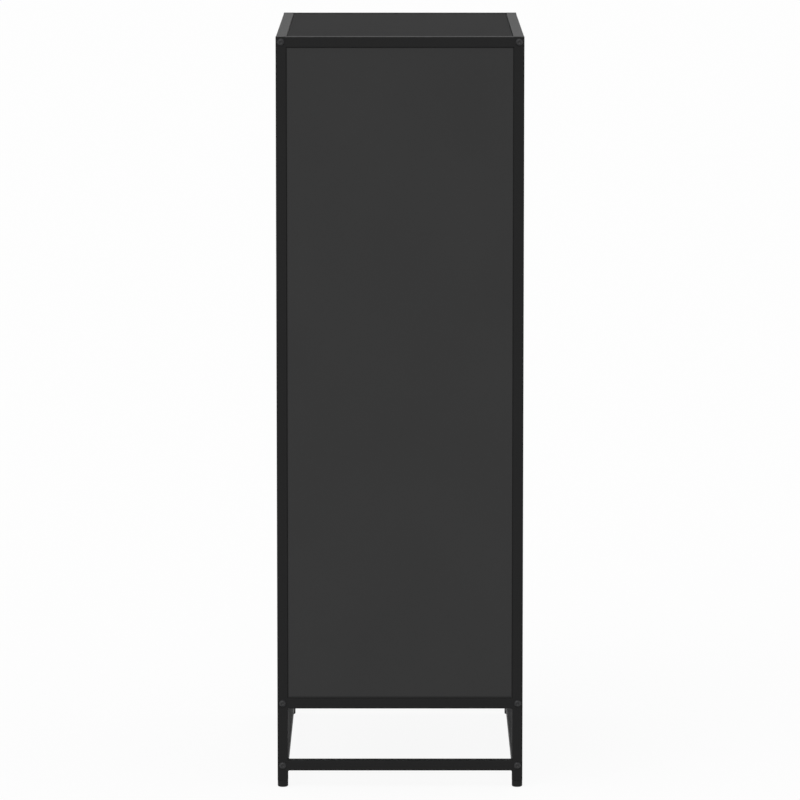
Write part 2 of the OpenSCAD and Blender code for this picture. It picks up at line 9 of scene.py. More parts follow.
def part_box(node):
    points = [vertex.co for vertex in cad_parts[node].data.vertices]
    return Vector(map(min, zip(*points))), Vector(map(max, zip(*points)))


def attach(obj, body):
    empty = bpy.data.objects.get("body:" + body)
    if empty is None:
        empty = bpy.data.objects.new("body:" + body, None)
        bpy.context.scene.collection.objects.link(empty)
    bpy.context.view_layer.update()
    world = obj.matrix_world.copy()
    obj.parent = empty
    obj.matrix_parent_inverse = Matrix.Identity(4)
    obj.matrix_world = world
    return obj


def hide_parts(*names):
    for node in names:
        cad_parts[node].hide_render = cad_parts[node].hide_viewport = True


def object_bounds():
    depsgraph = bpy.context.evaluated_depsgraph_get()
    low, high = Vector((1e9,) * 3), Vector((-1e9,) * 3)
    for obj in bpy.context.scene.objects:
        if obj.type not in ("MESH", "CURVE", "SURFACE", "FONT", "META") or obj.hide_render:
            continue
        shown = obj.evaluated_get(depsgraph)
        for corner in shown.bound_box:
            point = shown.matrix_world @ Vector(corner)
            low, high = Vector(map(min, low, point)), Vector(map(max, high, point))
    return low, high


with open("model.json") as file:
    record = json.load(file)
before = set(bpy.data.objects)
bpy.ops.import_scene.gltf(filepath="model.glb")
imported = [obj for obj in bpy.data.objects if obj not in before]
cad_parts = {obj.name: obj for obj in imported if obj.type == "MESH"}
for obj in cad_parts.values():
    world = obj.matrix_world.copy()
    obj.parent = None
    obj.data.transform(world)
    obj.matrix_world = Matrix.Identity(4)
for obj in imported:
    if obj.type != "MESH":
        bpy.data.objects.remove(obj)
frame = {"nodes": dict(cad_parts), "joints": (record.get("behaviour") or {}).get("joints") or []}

cad_low, cad_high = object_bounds()


# ---- Studio ----
# A pale floor that is clear from below, under an even white sky, with one broad soft lamp
# on the front's side of the camera. The camera looks square on at the right-hand end.
FLOOR_SIZE = 90.0
FLOOR_COLOUR = (0.80, 0.80, 0.80, 1)
FLOOR_GLOW = 0.92
SKY_LIGHT = 0.84
LAMP_LIGHT = 1.00
LAMP_SPREAD = radians(60)
LAMP_FROM = Vector((5.4, -2.6, 5.2))
CAMERA_AT = (8.0, 0.0, 1.5705)
CAMERA_DIP = radians(7.473)
CAMERA_LENS = 247.1


def add_node(tree, kind, inputs=None, **settings):
    """Puts a shader node in a tree. An input takes a value or another node's output."""
    node = tree.nodes.new("ShaderNode" + kind)
    for name, value in settings.items():
        setattr(node, name, value)
    for key, value in (inputs or {}).items():
        if isinstance(value, bpy.types.NodeSocket):
            tree.links.new(value, node.inputs[key])
        else:
            node.inputs[key].default_value = value
    return node


def seen_directly(tree):
    """1 where the camera, a gloss or the glass looks at the studio, and 0 for its light."""
    ray = add_node(tree, "LightPath").outputs
    seen = ray["Is Camera Ray"]
    for kind in ("Is Glossy Ray", "Is Transmission Ray"):
        seen = add_node(tree, "Math", {0: seen, 1: ray[kind]}, operation="MAXIMUM").outputs[0]
    return seen


sky = bpy.data.worlds.new("white_sky")
bpy.context.scene.world = sky
sky.use_nodes = True
tree = sky.node_tree
tree.nodes.clear()
strength = add_node(tree, "MapRange", {"Value": seen_directly(tree),
                                       "To Min": SKY_LIGHT, "To Max": 1.0})
glow = add_node(tree, "Background", {"Color": (1, 1, 1, 1), "Strength": strength.outputs[0]})
add_node(tree, "OutputWorld", {"Surface": glow.outputs[0]})

bpy.ops.object.select_all(action="DESELECT")
bpy.ops.mesh.primitive_plane_add(size=FLOOR_SIZE)
floor = bpy.context.object
floor.name = "studio_floor"
paint = bpy.data.materials.new("floor_paint")
paint.use_nodes = True
tree = paint.node_tree
tree.nodes.clear()
share = add_node(tree, "Math", {0: seen_directly(tree), 1: FLOOR_GLOW}, operation="MULTIPLY")
matt = add_node(tree, "BsdfDiffuse", {"Color": FLOOR_COLOUR})
glow = add_node(tree, "Emission", {"Color": (1, 1, 1, 1), "Strength": 1.0})
top = add_node(tree, "MixShader", {0: share.outputs[0], 1: matt.outputs[0], 2: glow.outputs[0]})
under = add_node(tree, "BsdfTransparent")
side = add_node(tree, "NewGeometry").outputs["Backfacing"]
both = add_node(tree, "MixShader", {0: side, 1: top.outputs[0], 2: under.outputs[0]})
add_node(tree, "OutputMaterial", {"Surface": both.outputs[0]})
floor.data.materials.append(paint)

bpy.ops.object.light_add(type="SUN", location=LAMP_FROM)
lamp = bpy.context.object
lamp.rotation_euler = LAMP_FROM.to_track_quat("Z", "Y").to_euler()
lamp.data.energy = LAMP_LIGHT
lamp.data.angle = LAMP_SPREAD

bpy.ops.object.camera_add(location=CAMERA_AT, rotation=(radians(90) - CAMERA_DIP, 0, radians(90)))
camera = bpy.context.object
camera.data.sensor_width = 36.0
camera.data.lens = CAMERA_LENS
bpy.context.scene.camera = camera
bpy.context.scene.view_settings.view_transform = "Standard"


# ---- Frame tubes ----
# Four posts and twelve rails of 15 mm square steel tube with a 1 mm wall. The side rails
# are welded between the posts, coped to the posts' round corners and ground flush outside.
# The long rails are cut square and bolted on, so the line where they meet a post stays open.
MM = 0.001
TUBE_CORNER = 1.5 * MM
TUBE_WALL = 1.0 * MM
BOLT_HOLE_R = 3.25
CAP_T = 1.2 * MM
CAP_ROOM = 9 * MM
SHARP = radians(35)
GRAIN_SHARE = 0.45
DRILL_REACH = 9


def surface(name, dark, light, gloss, grain, depth, drift=0.07, level=0.5, metallic=0.0):
    """A finish whose colour drifts between two shades and varies a little with its grain.

    gloss is the least and most roughness. The grain's size and height, and the distance
    over which the colour drifts, are in metres.
    """
    finish = bpy.data.materials.new(name)
    finish.use_nodes = True
    tree = finish.node_tree
    coat = tree.nodes["Principled BSDF"]
    coat.inputs["Metallic"].default_value = metallic
    coat.inputs["Specular IOR Level"].default_value = level
    place = add_node(tree, "TexCoord").outputs["Object"]
    slow = add_node(tree, "TexNoise", {"Vector": place, "Scale": 1 / drift, "Detail": 3.0})
    fine = add_node(tree, "TexNoise", {"Vector": place, "Scale": 1 / grain, "Detail": 2.0})
    share = add_node(tree, "Mix", {0: GRAIN_SHARE, 2: slow.outputs[0], 3: fine.outputs[0]})
    shade = add_node(tree, "Mix", {0: share.outputs[0], 6: (*dark, 1), 7: (*light, 1)},
                     data_type="RGBA")
    rough = add_node(tree, "MapRange", {"Value": fine.outputs[0], "From Min": 0.3, "From Max": 0.7,
                                        "To Min": gloss[0], "To Max": gloss[1]})
    relief = add_node(tree, "Bump", {"Height": fine.outputs[0], "Distance": depth, "Strength": 1.0})
    tree.links.new(shade.outputs[2], coat.inputs["Base Color"])
    tree.links.new(rough.outputs[0], coat.inputs["Roughness"])
    tree.links.new(relief.outputs[0], coat.inputs["Normal"])
    return finish


def choose(piece):
    """Makes a piece the only selected object."""
    bpy.ops.object.select_all(action="DESELECT")
    piece.select_set(True)
    bpy.context.view_layer.objects.active = piece


def named(name):
    """Puts the new primitive's place in its mesh and names it."""
    bpy.ops.object.transform_apply()
    piece = bpy.context.object
    piece.name = piece.data.name = name
    return piece


def block(name, low, high):
    """A cuboid between two corners."""
    bpy.ops.object.select_all(action="DESELECT")
    low, high = Vector(low), Vector(high)
    bpy.ops.mesh.primitive_cube_add(size=1, location=(low + high) / 2, scale=high - low)
    return named(name)


def pick(piece, kind, wanted):
    """Opens a piece in edit mode with only the wanted faces or edges selected."""
    choose(piece)
    bpy.ops.object.mode_set(mode="EDIT")
    bpy.ops.mesh.select_mode(type=kind)
    bpy.ops.mesh.select_all(action="DESELECT")
    mesh = bmesh.from_edit_mesh(piece.data)
    for item in mesh.faces if kind == "FACE" else mesh.edges:
        if wanted(item):
            item.select_set(True)
    bmesh.update_edit_mesh(piece.data)


def leave():
    """Goes back from edit mode."""
    bpy.ops.object.mode_set(mode="OBJECT")


def facing(axis, way=0):
    """Tells the faces that face along an axis, or one way along it."""
    return lambda face: abs(face.normal[axis]) > 0.9 and face.normal[axis] * way >= 0


def running(axis):
    """Tells the edges that run along an axis."""
    def wanted(edge):
        run = edge.verts[0].co - edge.verts[1].co
        return abs(run[axis]) > 0.99 * run.length
    return wanted


def outline_of(axis, way):
    """Tells the edges round the faces that face one way along an axis."""
    return lambda edge: any(facing(axis, way)(face) for face in edge.link_faces)


def bevel(piece, wanted, width, segments=3):
    """Rounds the wanted edges of a piece."""
    pick(piece, "EDGE", wanted)
    bpy.ops.mesh.bevel(offset=width, segments=segments, affect="EDGES")
    leave()


def modify(piece, kind, **settings):
    """Adds a modifier to a piece and applies it."""
    choose(piece)
    modifier = piece.modifiers.new(kind, kind)
    for name, value in settings.items():
        setattr(modifier, name, value)
    bpy.ops.object.modifier_apply(modifier=modifier.name)


def cut(piece, *tools):
    """Cuts the shape of each tool out of a piece, and the tools are gone."""
    for tool in tools:
        modify(piece, "BOOLEAN", object=tool, operation="DIFFERENCE", solver="EXACT")
        bpy.data.objects.remove(tool)
    return piece


def turned(name, rings, sides=48):
    """A piece turned about +Z, a disc drawn out through rings of (height, radius) in mm."""
    height, radius = rings[0]
    bpy.ops.object.select_all(action="DESELECT")
    bpy.ops.mesh.primitive_circle_add(
        vertices=sides, radius=radius * MM, fill_type="NGON", location=(0, 0, height * MM))
    piece = named(name)
    pick(piece, "FACE", lambda face: True)
    for next_height, next_radius in rings[1:]:
        rise, grow = (next_height - height) * MM, next_radius / radius
        bpy.ops.mesh.extrude_region_move(TRANSFORM_OT_translate={"value": (0, 0, rise)})
        bpy.ops.transform.resize(value=(grow, grow, 1), center_override=(0, 0, next_height * MM))
        height, radius = next_height, next_radius
    bpy.ops.mesh.select_all(action="SELECT")
    bpy.ops.mesh.normals_make_consistent(inside=False)
    leave()
    return piece


def at(place, towards=(0, 0, 1)):
    """The move that stands a piece at a place with its +Z towards a direction."""
    turn = Vector(towards).to_track_quat("Z", "Y").to_matrix().to_4x4()
    return Matrix.Translation(place) @ turn


def moved(piece, move):
    """Moves a piece's mesh and keeps its faces outwards."""
    piece.data.transform(move)
    if move.determinant() < 0:
        piece.data.flip_normals()
    return piece


def joined(name, parts):
    """Makes one piece of several."""
    choose(parts[0])
    for part in parts:
        part.select_set(True)
    bpy.ops.object.join()
    parts[0].name = parts[0].data.name = name
    return parts[0]


def copies(name, master, moves):
    """Copies of a piece, each with its own mesh, made one piece. The master is used up."""
    made = []
    for move in moves:
        twin = master.copy()
        twin.data = master.data.copy()
        bpy.context.collection.objects.link(twin)
        made.append(moved(twin, move))
    bpy.data.objects.remove(master)
    return joined(name, made)


def fit(piece, finish, body, slot, *nodes):
    """Smooths a finished piece, coats it, and hangs it on its body in its CAD nodes' stead."""
    choose(piece)
    bpy.ops.object.shade_smooth_by_angle(angle=SHARP)
    modify(piece, "WEIGHTED_NORMAL", keep_sharp=True)
    piece.data.materials.clear()
    piece.data.materials.append(finish)
    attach(piece, body)
    if nodes:
        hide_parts(*nodes)
    return piece


def square_tube(node, past=0.0):
    """A tube as long as its CAD node, or a little past it at both ends."""
    low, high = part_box(node)
    axis = max(range(3), key=lambda i: high[i] - low[i])
    low[axis] -= past
    high[axis] += past
    tube = block(node + "_tube", low, high)
    pick(tube, "FACE", facing(axis))
    bpy.ops.mesh.delete(type="FACE")
    leave()
    bevel(tube, running(axis), TUBE_CORNER, 5)
    modify(tube, "SOLIDIFY", thickness=TUBE_WALL, offset=-1, use_even_offset=True)
    return tube


powder_coat = surface("black_powder_coat", (0.0118, 0.0118, 0.0119), (0.0138, 0.0138, 0.0139),
                      gloss=(0.45, 0.57), grain=1.1 * MM, depth=0.012 * MM, level=0.08)

bolt_heights = [(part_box(node)[0].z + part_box(node)[1].z) / 2
                for node in ("right_foot_rail", "right_lower_rail", "right_top_rail")]
post_places = []
for post in ("left_front_post", "left_rear_post", "right_front_post", "right_rear_post"):
    low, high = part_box(post)
    middle = (low + high) / 2
    post_places.append(middle)
    tube = square_tube(post)
    drill = [(-DRILL_REACH, BOLT_HOLE_R), (DRILL_REACH, BOLT_HOLE_R)]
    cut(tube, *[moved(turned("drill", drill, 32),
                      at((middle.x, middle.y, height), (1, 0, 0))) for height in bolt_heights])
    fit(tube, powder_coat, "cabinet", "frame_metal", post)

top_z = cad_high.z
for rail in ("left_foot_rail", "left_lower_rail", "left_top_rail",
             "right_foot_rail", "right_lower_rail", "right_top_rail"):
    tube = square_tube(rail, past=TUBE_CORNER)
    if rail.endswith("top_rail"):
        low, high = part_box(rail)
        for y0, y1 in ((low.y - CAP_ROOM, low.y), (high.y, high.y + CAP_ROOM)):
            cut(tube, block("cap_room", (low.x - MM, y0, top_z - CAP_T),
                            (high.x + MM, y1, top_z + MM)))
    fit(tube, powder_coat, "cabinet", "frame_metal", rail)

for rail in ("front_foot_rail", "front_lower_rail", "front_top_rail",
             "rear_foot_rail", "rear_lower_rail", "rear_top_rail"):
    fit(square_tube(rail), powder_coat, "cabinet", "frame_metal", rail)


# ---- Frame welds ----
# Short rippled fillets where the welded side rails meet the posts, above and below the
# lower and the foot rails. They are coated with the frame.
BEAD_R = 1.15
BEAD_RIPPLE = 0.12
BEAD_STEP = 0.5


def weld_bead(length, radius=BEAD_R):
    """A rippled bead along +Z from 0, its length and radius in mm."""
    count = int(length / BEAD_STEP)
    rings = [(0, radius * 0.45), (0.3, radius * 0.8)]
    for step in range(1, count):
        rings.append((step * BEAD_STEP, radius - BEAD_RIPPLE * (step % 2)))
    rings += [(length - 0.2, radius * 0.8), (length, radius * 0.45)]
    return turned("bead", rings, 16)


moves = []
for end in ("left", "right"):
    for rail in ("_foot_rail", "_lower_rail"):
        low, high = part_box(end + rail)
        for y in (low.y, high.y):
            for z in (low.z, high.z):
                moves.append(at((low.x + 1.4 * MM, y, z), (1, 0, 0)))
welds = copies("side_frame_welds", weld_bead(12.2), moves)
fit(welds, powder_coat, "cabinet", "frame_metal")


# ---- Post caps ----
# Moulded plastic caps pushed into the tops of the posts, with a broken edge round the top.
cap_plastic = surface("cap_plastic", (0.010, 0.010, 0.010), (0.013, 0.013, 0.013),
                      gloss=(0.5, 0.65), grain=0.5 * MM, depth=0.008 * MM, level=0.1)
CAP_PLUG = 2.9 * MM
CAP_EDGE = 0.3 * MM
half = 7.5 * MM
cap = block("cap", (-half, -half, -CAP_T), (half, half, 0))
bevel(cap, running(2), TUBE_CORNER, 5)
bevel(cap, outline_of(2, 1), CAP_EDGE, 3)
pick(cap, "FACE", facing(2, -1))
bpy.ops.mesh.inset(thickness=1.05 * MM)
bpy.ops.mesh.extrude_region_move(TRANSFORM_OT_translate={"value": (0, 0, -CAP_PLUG + 0.4 * MM)})
bpy.ops.mesh.extrude_region_move(TRANSFORM_OT_translate={"value": (0, 0, -0.4 * MM)})
bpy.ops.transform.resize(value=(0.95, 0.95, 1), center_override=(0, 0, -CAP_T - CAP_PLUG))
leave()
caps = copies("post_caps_moulded", cap, [at((post.x, post.y, top_z)) for post in post_places])
fit(caps, cap_plastic, "cabinet", "cap_plastic", "post_caps")


# ---- Feet ----
# Round plastic feet as wide as the tube, each with a square stem pushed up into its post.
# The lower edge is rounded, and a fine step shows where the foot meets the tube.
foot_plastic = surface("foot_plastic", (0.006, 0.006, 0.006), (0.009, 0.009, 0.009),
                       gloss=(0.45, 0.60), grain=0.6 * MM, depth=0.01 * MM, level=0.15)
FOOT_R, FOOT_H, FOOT_ROUND = 7.5, 10.0, 2.0
rings = [(FOOT_ROUND * (1 - cos(radians(a))), FOOT_R - FOOT_ROUND * (1 - sin(radians(a))))
         for a in range(0, 91, 15)]
rings += [(8.9, FOOT_R), (9.1, FOOT_R - 0.25), (9.4, FOOT_R - 0.25), (9.6, FOOT_R),
          (9.85, FOOT_R), (FOOT_H, FOOT_R - 0.15)]
foot = turned("foot", rings, 64)
stem_half, stem_top = 6.45 * MM, 24.5 * MM
stem = block("stem", (-stem_half, -stem_half, 8 * MM), (stem_half, stem_half, stem_top))
bevel(stem, running(2), 0.5 * MM, 2)
bevel(stem, outline_of(2, 1), 0.8 * MM, 2)
foot = joined("foot", [foot, stem])
feet = copies("feet_moulded", foot, [at((post.x, post.y, 0)) for post in post_places])
fit(feet, foot_plastic, "cabinet", "foot_plastic", "feet")


# ---- Frame bolts ----
# Twelve M6 button head bolts with a hex socket, black zinc on steel. They go through the
# posts into threaded nuts in the ends of the long rails, and no two sockets lie alike.
black_zinc = surface("black_zinc", (0.010, 0.010, 0.011), (0.016, 0.016, 0.017),
                     gloss=(0.26, 0.36), grain=0.4 * MM, depth=0.004 * MM, drift=4 * MM, level=0.35)
HEAD_R, HEAD_H, SHANK_R, SHANK_L, SOCKET_R, SOCKET_D = 5.25, 3.3, 3.0, 28.0, 2.309, 2.1
dome = (HEAD_H ** 2 + HEAD_R ** 2) / (2 * HEAD_H)
rings = [(-SHANK_L, SHANK_R - 0.6), (0.6 - SHANK_L, SHANK_R), (0, SHANK_R),
         (0, HEAD_R - 0.15), (0.15, HEAD_R)]
rings += [(sqrt(dome ** 2 - r ** 2) - dome + HEAD_H, r) for r in (5.1, 4.8, 4.4, 3.9, 3.4, 3.0)]
rings += [(2.58, 2.85), (2.62, 1.5)]
bolt = cut(turned("bolt", rings), turned("key", [
    (HEAD_H - SOCKET_D - 0.5, SOCKET_R * 0.4), (HEAD_H - SOCKET_D, SOCKET_R),
    (2.35, SOCKET_R), (2.85, SOCKET_R + 0.55)], 6))
moves = []
for post in post_places:
    way = 1 if post.x > 0 else -1
    for height in bolt_heights:
        spin = Matrix.Rotation(radians(37 * len(moves)), 4, "Z")
        moves.append(at((post.x + way * half, post.y, height), (way, 0, 0)) @ spin)
bolts = copies("frame_bolts_turned", bolt, moves)
fit(bolts, black_zinc, "cabinet", "black_steel", "frame_bolts")

# The nuts in the rails' ends can't be seen, so they stay plain under bright zinc.
bright_zinc = surface("bright_zinc", (0.52, 0.53, 0.55), (0.62, 0.63, 0.64), gloss=(0.28, 0.42),
                      grain=0.35 * MM, depth=0.004 * MM, drift=3 * MM, metallic=1.0)
nuts = frame["nodes"]["rail_nuts"]
nuts.data.materials.clear()
nuts.data.materials.append(bright_zinc)


# ---- Boards and shelves ----
# Particle board under matt black melamine with a fine pearl texture. The edges are banded
# and barely rounded, and the band's glue line shows as a hair-fine groove round each face.
melamine = surface("black_melamine", (0.0328, 0.0328, 0.0329), (0.0418, 0.0418, 0.0419),
                   gloss=(0.72, 0.86), grain=0.9 * MM, depth=0.04 * MM, drift=0.16, level=0.003)
BOARD_EDGE = 0.6 * MM
GLUE_LINE = 0.1 * MM


def edged_board(node):
    """A banded board in the place of its CAD node."""
    low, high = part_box(node)
    thin = min(range(3), key=lambda i: high[i] - low[i])
    board = block(node + "_banded", low, high)
    bevel(board, lambda edge: True, BOARD_EDGE, 3)
    pick(board, "FACE", facing(thin))
    bpy.ops.mesh.inset(thickness=GLUE_LINE, depth=-GLUE_LINE)
    bpy.ops.mesh.inset(thickness=GLUE_LINE, depth=GLUE_LINE)
    leave()
    return board


for node in ("top_board", "bottom_board", "lower_shelf", "upper_shelf"):
    fit(edged_board(node), melamine, "cabinet", "board", node)


# ---- Side panels and shelf pins ----
# The same board stands in each end frame. Its inner face has three rows of 5 mm holes for
# each shelf, and nickelled pins with a collar sit in the middle row and carry the shelf.
nickel = surface("nickel_plate", (0.60, 0.58, 0.55), (0.68, 0.66, 0.62), gloss=(0.2, 0.32),
                 grain=0.4 * MM, depth=0.003 * MM, drift=3 * MM, metallic=1.0)
PIN_R, PIN_DEPTH, PIN_REACH, PIN_STEP, PIN_INSET = 2.5, 8.0, 9.0, 32 * MM, 34 * MM
shelf_low, shelf_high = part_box("lower_shelf")
pin_rows = (shelf_low.y + PIN_INSET, shelf_high.y - PIN_INSET)
pin_heights = [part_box(node)[0].z - PIN_R * MM for node in ("lower_shelf", "upper_shelf")]
moves = []
for way, node in ((-1, "left_side_panel"), (1, "right_side_panel")):
    low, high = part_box(node)
    inner = low.x if way > 0 else high.x
    panel = edged_board(node)
    drill = turned("drill", [(-1, 2.95), (0, 2.95), (0.35, PIN_R + 0.05),
                             (PIN_DEPTH, PIN_R + 0.05)], 24)
    holes = [at((inner, y, z + step * PIN_STEP), (way, 0, 0))
             for y in pin_rows for z in pin_heights for step in (-1, 0, 1)]
    cut(panel, copies("drills", drill, holes))
    fit(panel, melamine, "cabinet", "board", node)
    moves += [at((inner, y, z), (way, 0, 0)) for y in pin_rows for z in pin_heights]
pin = turned("pin", [(-PIN_REACH, 1.6), (-8.8, 2.2), (-8.3, PIN_R), (-1.2, PIN_R), (-1.2, 3.4),
                     (-1.0, 3.6), (-0.2, 3.6), (0, 3.4), (0, PIN_R), (7.4, PIN_R),
                     (PIN_DEPTH, 2.0)], 32)
pins = copies("shelf_pins_turned", pin, moves)
fit(pins, nickel, "cabinet", "nickel_steel", "shelf_pins")


# ---- Panel seals ----
# A thin strip of soft black rubber pressed into the joint round each side panel, a little
# below the panel's face, to keep dust out. It fills 0.5 mm, and 2 mm along the lower rail.
seal_rubber = surface("seal_rubber", (0.016, 0.016, 0.016), (0.020, 0.020, 0.020),
                      gloss=(0.6, 0.8), grain=0.7 * MM, depth=0.01 * MM, drift=0.02, level=0.1)
SEAL_SINK, SEAL_DEPTH = 0.45 * MM, 5 * MM
rail_low, rail_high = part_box("right_lower_rail")[1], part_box("right_top_rail")[0]
for way, node in ((-1, "left_side_panel"), (1, "right_side_panel")):
    low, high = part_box(node)
    outer = high.x - SEAL_SINK if way > 0 else low.x + SEAL_SINK
    x0, x1 = sorted((outer, outer - way * SEAL_DEPTH))
    seal = block(node + "_seal", (x0, rail_high.y, rail_low.z), (x1, rail_low.y, rail_high.z))
    cut(seal, block("panel_room", (low.x, low.y, low.z), (high.x, high.y, high.z)))
    bevel(seal, outline_of(0, way), 0.1 * MM, 2)
    fit(seal, seal_rubber, "cabinet", "gasket_rubber")


# ---- Back panel ----
# A 3 mm sheet of hardboard, lacquered black. The room side is smooth, and the wall side
# has the pressed mesh of its screen. It is screwed to tabs and has two holes for the wall.
lacquer = surface("black_hardboard", (0.030, 0.030, 0.030), (0.035, 0.035, 0.035),
                  gloss=(0.6, 0.75), grain=1.6 * MM, depth=0.004 * MM, drift=0.05, level=0.05)
screen = surface("hardboard_screen_side", (0.020, 0.019, 0.018), (0.029, 0.027, 0.025),
                 gloss=(0.75, 0.9), grain=0.8 * MM, depth=0.02 * MM, drift=0.03, level=0.2)
SCREEN_PITCH = 1.3 * MM
WAVE_UNIT = 0.314
tree = screen.node_tree
place = add_node(tree, "TexCoord").outputs["Object"]
weave = [add_node(tree, "TexWave", {"Vector": place, "Scale": WAVE_UNIT / SCREEN_PITCH,
                                    "Distortion": 0.3},
                  bands_direction=way).outputs["Fac"] for way in ("X", "Z")]
mesh_print = add_node(tree, "Math", {0: weave[0], 1: weave[1]}, operation="MULTIPLY")
relief = add_node(tree, "Bump", {"Height": mesh_print.outputs[0], "Distance": 0.12 * MM,
                                 "Strength": 1.0, "Normal": tree.nodes["Bump"].outputs[0]})
tree.links.new(relief.outputs[0], tree.nodes["Principled BSDF"].inputs["Normal"])
WALL_HOLE_R = 3.0
spacer_low, spacer_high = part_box("wall_spacers")
wall_hole_z = (spacer_low.z + spacer_high.z) / 2
wall_hole_x = spacer_high.x - 7 * MM
low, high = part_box("back_panel")
sheet = block("back_panel_sheet", low, high)
bevel(sheet, lambda edge: True, 0.3 * MM, 2)
wall_drill = [(-DRILL_REACH, WALL_HOLE_R), (DRILL_REACH, WALL_HOLE_R)]
cut(sheet, *[moved(turned("drill", wall_drill, 32), at((x, high.y, wall_hole_z), (0, 1, 0)))
             for x in (-wall_hole_x, wall_hole_x)])
fit(sheet, lacquer, "cabinet", "hardboard", "back_panel")
sheet.data.materials.append(screen)
for face in sheet.data.polygons:
    if face.normal.y > 0.9:
        face.material_index = 1


# ---- Tabs ----
# Steel tabs, 22 by 18 by 2 mm, welded to the tubes with one bead and coated with them. One
# corner pair is rounded and each has a hole for the screw that holds its board.
TAB_L, TAB_W, TAB_T, TAB_HOLE = 22 * MM, 18 * MM, 2 * MM, 16 * MM
tab = block("tab", (-1.4 * MM, -TAB_W / 2, 0), (TAB_L, TAB_W / 2, TAB_T))
bevel(tab, lambda edge: running(2)(edge) and edge.verts[0].co.x > 0, 3 * MM, 5)
bevel(tab, lambda edge: outline_of(2, -1)(edge) or outline_of(2, 1)(edge), 0.2 * MM, 2)
cut(tab, moved(turned("drill", [(-4, 1.9), (4, 1.9)], 24), at((TAB_HOLE, 0, 0))))
bead = moved(weld_bead(13, 0.9), at((-0.3 * MM, -6.5 * MM, 0.45 * MM), (0, 1, 0)))
tab = joined("tab", [tab, bead])

quarter = {axis: Matrix.Rotation(radians(90), 4, axis) for axis in "XYZ"}
mirror_x = Matrix.Scale(-1, 4, (1, 0, 0))
mirror_y = Matrix.Scale(-1, 4, (0, 1, 0))
inner_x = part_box("front_top_rail")[1].x
inner_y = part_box("right_top_rail")[1].y
panel_low, panel_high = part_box("right_side_panel")
back_low, back_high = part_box("back_panel")
SIDE_TAB_END, BACK_TAB_END, RAIL_TAB_X, BACK_RAIL_TAB_X = 70 * MM, 120 * MM, 120 * MM, 180 * MM
panel_mid_z = (panel_low.z + panel_high.z) / 2
board_tab_moves, back_tab_moves = [], []
for z in (panel_low.z + SIDE_TAB_END, panel_mid_z, panel_high.z - SIDE_TAB_END):
    upright = Matrix.Translation((inner_x, inner_y, z)) @ quarter["X"].inverted() @ quarter["Y"]
    board_tab_moves += [upright, mirror_y @ upright]
board_tab_moves += [mirror_x @ move for move in board_tab_moves]
for z in (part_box("front_top_rail")[0].z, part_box("front_lower_rail")[0].z):
    long_side = Matrix.Translation((RAIL_TAB_X, inner_y, z)) @ quarter["Z"].inverted()
    end_side = Matrix.Translation((inner_x, 0, z)) @ Matrix.Rotation(radians(180), 4, "Z")
    for move in (long_side, mirror_y @ long_side, end_side):
        board_tab_moves += [move, mirror_x @ move]
for z in (back_low.z + BACK_TAB_END, panel_mid_z + 2 * TAB_W, back_high.z - BACK_TAB_END):
    upright = (Matrix.Translation((inner_x, inner_y, z)) @ quarter["X"]
               @ Matrix.Rotation(radians(180), 4, "Y"))
    back_tab_moves += [upright, mirror_x @ upright]
hanging = (Matrix.Translation((BACK_RAIL_TAB_X, inner_y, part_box("front_lower_rail")[1].z))
           @ Matrix.Scale(-1, 4, (0, 0, 1)) @ quarter["Z"] @ quarter["Y"])
back_tab_moves += [hanging, mirror_x @ hanging]
tabs = copies("board_tabs_welded", tab, board_tab_moves + back_tab_moves)
fit(tabs, powder_coat, "cabinet", "frame_metal", "board_tabs")


# ---- Board and back screws ----
# Zinc plated pan head screws with a cross recess. The boards' screws end inside them, and
# the back panel's come in from behind, so 2 mm of their threads show through the tabs.
SCREW_R, SCREW_HEAD_R, SCREW_HEAD_H = 1.75, 3.5, 2.0


def pan_screw(length, radius=SCREW_R):
    """A screw along +Z with its head below 0, its length and radius in mm."""
    rings = [(-SCREW_HEAD_H, 1.6), (-1.9, 2.3), (-1.7, 2.8), (-1.35, 3.2), (-0.95, 3.43),
             (-0.6, SCREW_HEAD_R), (-0.1, SCREW_HEAD_R), (0, 3.4), (0, radius)]
    pitch = 0.7
    for step in range(2, int((length - 1.5) / pitch)):
        rings += [(step * pitch, radius), (step * pitch + 0.35, radius * 0.8)]
    rings += [(length - 1.5, radius), (length, radius * 0.15)]
    screw = turned("screw", rings, 24)
    for size in ((2.1, 0.4), (0.4, 2.1)):
        slot = block("slot", (-size[0] * MM, -size[1] * MM, -2.6 * MM),
                     (size[0] * MM, size[1] * MM, -1 * MM))
        bevel(slot, outline_of(2, 1), 0.25 * MM, 1)
        cut(screw, slot)
    return screw


hole = Matrix.Translation((TAB_HOLE, 0, 0))
screws = copies("board_screws_turned", pan_screw(10), [move @ hole for move in board_tab_moves])
fit(screws, bright_zinc, "cabinet", "zinc_steel", "board_screws")
from_behind = Matrix.Translation((TAB_HOLE, 0, 5 * MM)) @ Matrix.Scale(-1, 4, (0, 0, 1))
screws = copies("back_screws_turned", pan_screw(7), [move @ from_behind for move in back_tab_moves])
fit(screws, bright_zinc, "cabinet", "zinc_steel", "back_screws")


